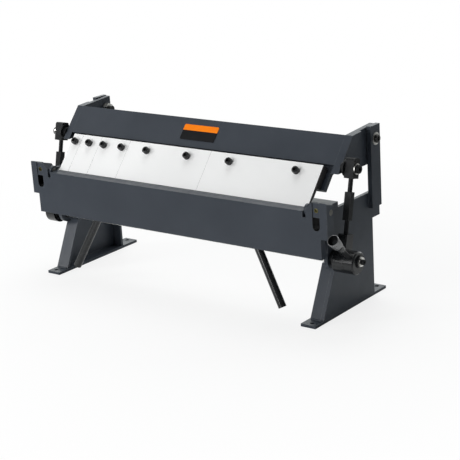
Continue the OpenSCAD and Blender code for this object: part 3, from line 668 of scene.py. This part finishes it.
def ground_steel():
    material, tree, links, shader, place = finish_tree("ground_steel", 0.5, metallic=0.1)
    lines = grain(tree, links, place, 24.0, 3.0, (1.0, 18.0, 18.0))
    cloud = mottle(tree, links, place, 5.0)
    face = blend_colours(tree, links, cloud, (0.86, 0.86, 0.86), (0.92, 0.92, 0.92))
    towards = tree.new("ShaderNodeVectorMath")
    towards.operation = "DOT_PRODUCT"
    towards.inputs[1].default_value = (0.0, -math.cos(LEAN), math.sin(LEAN))
    aspect = tree.new("ShaderNodeTexCoord")
    links.new(aspect.outputs["Normal"], towards.inputs[0])
    # Faces turned away from the finger's front are painted near black: painted shade on the sides.
    front = spread(tree, links, towards.outputs["Value"], 0.90, 0.97, 0.0, 1.0)
    links.new(
        blend_colours(tree, links, front, (0.050, 0.050, 0.052), face),
        shader.inputs["Base Color"]
    )
    links.new(spread(tree, links, lines, 0.3, 0.7, 0.42, 0.58), shader.inputs["Roughness"])
    relief(tree, links, lines, 0.10, 0.00006, shader)
    return material


FINGERS = [f"finger_{number}" for number in range(1, 6)]
dress(FINGERS, ground_steel(), 0.0005)

face_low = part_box("beam_face")[0]
FACE_THICK = 0.010
beam_place = Matrix.Translation((
    0.0,
    face_low.y,
    face_low.z + FACE_THICK * math.sin(LEAN),
)) @ Matrix.Rotation(-LEAN, 4, "X")
FINGER_PROUD = 0.0079
SCREW_DOWN = 0.0269
FINGER_SCREW = (0.0075, 0.010, 0.005, 0.026, 0.0043)
FINGER_UNIT = 0.028
SCREWS_IN = (None, None, 0.55 * FINGER_UNIT, 2 * FINGER_UNIT, 2 * FINGER_UNIT)
finger_screws_x = []
for finger, inward in zip(FINGERS, SCREWS_IN):
    finger_low, finger_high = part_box(finger)
    if inward is None:
        finger_screws_x.append((finger_low.x + finger_high.x) / 2)
    else:
        finger_screws_x += [finger_low.x + inward, finger_high.x - inward]
screw_set(
    "finger_cap_screws",
    [beam_place @ Matrix.Translation((x, -FINGER_PROUD, -SCREW_DOWN))
     @ Matrix.Rotation(math.radians(90), 4, "X") for x in finger_screws_x],
    FINGER_SCREW, SCREW_BLACK, "beam", "finger_screws"
)


# Blank plate on the beam. A thin printed plate with rounded corners: a coloured band over a
# black field, with nothing written on it.
def plate_colour(name, colour, deeper):
    material, tree, links, shader, place = finish_tree(name, 0.45)
    shader.inputs["Specular IOR Level"].default_value = 0.1
    cloud = mottle(tree, links, place, 50.0)
    links.new(blend_colours(tree, links, cloud, colour, deeper), shader.inputs["Base Color"])
    relief(tree, links, grain(tree, links, place, 700.0, 2.0), 0.12, 0.00005, shader)
    return material


def rounded_patch(name, half_width, low, high, thick, round_low, round_high, material,
                  node):
    """A thin plate on the beam's face, its lower and its upper corners each with a radius."""
    shape = bmesh.new()
    outline = []
    for centre_x, centre_z, radius, start in (
        (half_width, low, round_low, -90), (half_width, high, round_high, 0),
        (-half_width, high, round_high, 90), (-half_width, low, round_low, 180),
    ):
        inward_x = -math.copysign(radius, centre_x)
        inward_z = radius if centre_z == low else -radius
        steps = 8 if radius > 0 else 0
        for step in range(steps + 1):
            angle = math.radians(start + 90 * step / max(steps, 1))
            outline.append((
                centre_x + inward_x + radius * math.cos(angle),
                centre_z + inward_z + radius * math.sin(angle),
            ))
    front = [shape.verts.new(beam_place @ Vector((x, -thick, z))) for x, z in outline]
    back = [shape.verts.new(beam_place @ Vector((x, 0.0, z))) for x, z in outline]
    shape.faces.new(front)
    shape.faces.new(list(reversed(back)))
    band(shape, back, front)
    mesh = shape_mesh(name, shape)
    piece = mesh_piece(name, mesh, material, "beam")
    for face in mesh.polygons:
        face.use_smooth = False
    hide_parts(node)
    return piece


DEEP_BLACK = ((0.006, 0.006, 0.007), (0.010, 0.010, 0.011))
LABEL_THICK = 0.0009
LABEL_ROUND = 0.003
LABEL_HALF = 0.046
LABEL_LOW = 0.0157
LABEL_MID = LABEL_LOW + 0.022
LABEL_HIGH = LABEL_LOW + 0.036
rounded_patch(
    "blank_field", LABEL_HALF, LABEL_LOW, LABEL_MID, LABEL_THICK, LABEL_ROUND, 0.0,
    plate_colour("field_black", *DEEP_BLACK), "blank_plate"
)
rounded_patch(
    "blank_band", LABEL_HALF, LABEL_MID, LABEL_HIGH, LABEL_THICK, 0.0, LABEL_ROUND,
    plate_colour("band_orange", (0.96, 0.215, 0.003), (1.0, 0.24, 0.004)),
    "blank_plate_band"
)


# Clamp links. Each is a block on the beam's stud, a turnbuckle of two threaded rods and a square
# sleeve, and an eye that runs on the shaft's eccentric. All of it is blackened steel, as are the
# studs' spacers and the shaft's bushes.
OXIDE = oxide_black()
dress(
    [f"{piece}_{side}" for side in SIDES
     for piece in ("link_block", "turnbuckle_sleeve", "eccentric")]
    + [f"shaft_bush_{side}" for side in SIDES] + ["stud_spacers"],
    OXIDE, 0.0006
)
dress([f"link_eye_{side}" for side in SIDES], TURNED_BLACK, 0.0008)
stud_low, stud_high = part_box("link_studs")
stud_washer_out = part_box("stud_washers")[1].x
arm_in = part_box("beam_arm_right")[0].x
stud_y = (stud_low.y + stud_high.y) / 2
stud_z = (stud_low.z + stud_high.z) / 2
LINK_STUD = (0.0088, 0.0061, 0.006, stud_washer_out - arm_in, 0.0046)
screw_set(
    "link_stud_screws",
    [Matrix.Scale(hand, 4, (1, 0, 0))
     @ Matrix.Translation((stud_washer_out, stud_y, stud_z)) @ side_on for hand in (1, -1)],
    LINK_STUD, OXIDE, "beam", "link_studs"
)


THREAD_ROOT = 0.89
THREAD_CORNERS = 20


def threaded_rod(shape, place, radius, low, high, pitch=0.0015):
    """Adds a rod with a real helical thread, from low to high on the Z of place."""
    count = THREAD_CORNERS
    turns = (high - low) / pitch
    steps = int(turns * count)
    crest = []
    root = []
    for step in range(steps + 1):
        angle = 2 * math.pi * step / count
        height = low + (high - low) * step / steps
        for line, reach, rise in ((crest, radius, 0.0), (root, radius * THREAD_ROOT, pitch / 2)):
            z = min(high, height + rise)
            line.append(shape.verts.new(
                place @ Vector((reach * math.cos(angle), reach * math.sin(angle), z))
            ))
    for step in range(steps):
        shape.faces.new((crest[step], crest[step + 1], root[step + 1], root[step]))
        if step + count + 1 <= steps:
            shape.faces.new(
                (root[step], root[step + 1], crest[step + count + 1], crest[step + count])
            )
    bottom = crest[:count]
    shape.faces.new(list(reversed(bottom)))
    shape.faces.new(root[-count:])


JOURNAL_Y = -0.063504
JOURNAL_Z = 0.125273
EYE_AHEAD = 0.00027
THREAD_RADIUS = 0.005
LOWER_THREAD = (0.040, 0.094)
UPPER_THREAD_LOW = 0.126
UPPER_THREAD_SHORT = 0.010
eye_y = JOURNAL_Y - EYE_AHEAD
link_lean = math.atan2(stud_y - eye_y, stud_z - JOURNAL_Z)
link_reach = math.hypot(stud_y - eye_y, stud_z - JOURNAL_Z)
for side in SIDES:
    rods_low, rods_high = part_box(f"turnbuckle_rods_{side}")
    link_x = (rods_low.x + rods_high.x) / 2
    link_place = (
        Matrix.Translation((link_x, eye_y, JOURNAL_Z)) @ Matrix.Rotation(-link_lean, 4, "X")
    )
    shape = bmesh.new()
    threaded_rod(shape, link_place, THREAD_RADIUS, *LOWER_THREAD)
    threaded_rod(
        shape, link_place, THREAD_RADIUS, UPPER_THREAD_LOW, link_reach - UPPER_THREAD_SHORT
    )
    rod_mesh = shape_mesh(f"threaded_rods_{side}", shape)
    rods = mesh_piece(f"threaded_rods_{side}", rod_mesh, OXIDE, f"link_{side}")
    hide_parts(f"turnbuckle_rods_{side}")


# Shaft end screws. Socket heads in blackened steel, each on a washer; they hold the hub on the
# right end of the shaft and the eccentric on the left.
end_low, end_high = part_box("shaft_end_screws")
end_washer_low, end_washer_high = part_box("shaft_end_washers")
shaft_y = (end_low.y + end_high.y) / 2
shaft_z = (end_low.z + end_high.z) / 2
END_HEAD = 0.0055
END_SHANK = (0.0045, 0.002)
END_SOCKET = 0.003
screw_set(
    "shaft_cap_screws",
    [Matrix.Translation((end_washer_high.x, shaft_y, shaft_z)) @ side_on],
    (END_HEAD, end_high.x - end_washer_high.x, *END_SHANK, END_SOCKET),
    OXIDE, "shaft", "shaft_end_screws"
)
left_shape = bmesh.new()
socket_screw(
    left_shape,
    Matrix.Scale(-1, 4, (1, 0, 0))
    @ Matrix.Translation((-end_washer_low.x, shaft_y, shaft_z)) @ side_on,
    END_HEAD, end_washer_low.x - end_low.x, *END_SHANK, END_SOCKET
)
left_mesh = shape_mesh("shaft_cap_screw_left", left_shape)
left_screw = mesh_piece("shaft_cap_screw_left", left_mesh, OXIDE, "shaft")
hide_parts("shaft_end_screws")


# Hand lever: hub, rod and grip. The hub is turned and blackened, the rod is blackened bar, and
# the grip is a moulded grey cone with a black neck; its hollow end is painted near black as
# painted shade.
dress(["lever_hub"], TURNED_BLACK, 0.0016)
dress(["lever_rod"], OXIDE, 0.0)


def grip_plastic():
    material, tree, links, shader, place = finish_tree("grip_plastic", 0.3, metallic=0.5)
    cloud = mottle(tree, links, place, 40.0)
    links.new(
        blend_colours(tree, links, cloud, (0.18, 0.18, 0.185), (0.28, 0.28, 0.285)),
        shader.inputs["Base Color"]
    )
    links.new(mottle(tree, links, place, 120.0, 0.26, 0.38), shader.inputs["Roughness"])
    relief(tree, links, grain(tree, links, place, 800.0, 2.0), 0.2, 0.00008, shader)
    return material


def lathe(name, place, profile, material, body, count=64):
    """A closed turned piece from (radius, height) pairs."""
    shape = bmesh.new()
    rings = [ring_of(shape, r, z, count) for r, z in profile]
    for lower, higher in zip(rings, rings[1:] + rings[:1]):
        band(shape, lower, higher)
    bmesh.ops.transform(shape, matrix=place, verts=shape.verts)
    return mesh_piece(name, shape_mesh(name, shape), material, body)


rod_low, rod_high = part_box("lever_rod")
LEVER_UP = math.radians(43)
lever_place = Matrix.Translation((
    (rod_low.x + rod_high.x) / 2, JOURNAL_Y, JOURNAL_Z
)) @ Matrix.Rotation(math.radians(90) - LEVER_UP, 4, "X")
grip = lathe(
    "lever_cone_grip", lever_place,
    [(0.0051, 0.0560), (0.0066, 0.0560), (0.0072, 0.0562), (0.0075, 0.0568), (0.0083, 0.0660),
     (0.0089, 0.0740), (0.0098, 0.0750), (0.0102, 0.0800), (0.0113, 0.0910), (0.0119, 0.0958),
     (0.0120, 0.0970), (0.0117, 0.0978), (0.0114, 0.0980), (0.0110, 0.0979), (0.0107, 0.0975),
     (0.0105, 0.0960), (0.0102, 0.0902), (0.0051, 0.0900)],
    grip_plastic(), "shaft"
)
GRIP_BORE = 0.0109
GRIP_BORE_LOW = 0.088
GRIP_NECK_TOP = 0.0745
# Faces inside the bore near the mouth are painted near black: painted shade in the hollow.
grip.data.materials.append(plate_colour("grip_bore_painted_shade", *DEEP_BLACK))
grip.data.materials.append(TURNED_BLACK)
lever_back = lever_place.inverted()
for face in grip.data.polygons:
    centre = lever_back @ face.center
    if math.hypot(centre.x, centre.y) < GRIP_BORE and centre.z > GRIP_BORE_LOW:
        face.material_index = 1
    elif centre.z < GRIP_NECK_TOP:
        face.material_index = 2
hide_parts("lever_grip")


# Welds of the moving parts. A ring of weld where each handle meets the leaf's lower edge, cut
# off at the leaf's back, and a bead along each of the beam's arms.
bar_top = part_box("leaf_handle_right")[1].z
LEAF_BACK = -0.1098
RING_BALLS = 28


def ring_weld(name, centre, across, radius, body):
    """Weld round a bar on each side of the machine: small balls along an oval."""
    shape = bmesh.new()
    for hand in (1, -1):
        points = []
        for step in range(RING_BALLS + 1):
            angle = 2 * math.pi * step / RING_BALLS
            points.append(Vector((
                hand * (centre[0] + across[0] * math.cos(angle)),
                centre[1] + across[1] * math.sin(angle),
                centre[2],
            )))
        for first, second in zip(points, points[1:]):
            middle = (first + second) / 2
            if middle.y < LEAF_BACK:
                bmesh.ops.create_icosphere(
                    shape, subdivisions=2, radius=radius, matrix=Matrix.Translation(middle)
                )
    return mesh_piece(name, shape_mesh(name, shape), ENAMEL, body)


LEAF_MIDDLE = -0.11675
BAR_RADIUS = 0.0085
BAR_OVAL = (1.14, 0.99)
BAR_AT = 0.218
BAR_BEHIND = 0.0065
RING_BEAD = 0.0016
RING_SUNK = 0.0004
ring_weld(
    "handle_welds",
    (BAR_AT, LEAF_MIDDLE + BAR_BEHIND, bar_top - RING_SUNK),
    (BAR_RADIUS * BAR_OVAL[0], BAR_RADIUS * BAR_OVAL[1]), RING_BEAD, "leaf"
)
ARM_BEAD = (0.004, 0.060)
arm_weld = tuple(
    tuple(beam_place @ Vector((arm_in, FACE_THICK, height))) for height in ARM_BEAD
)
weld("arm_welds", [arm_weld], BEAD, "beam")
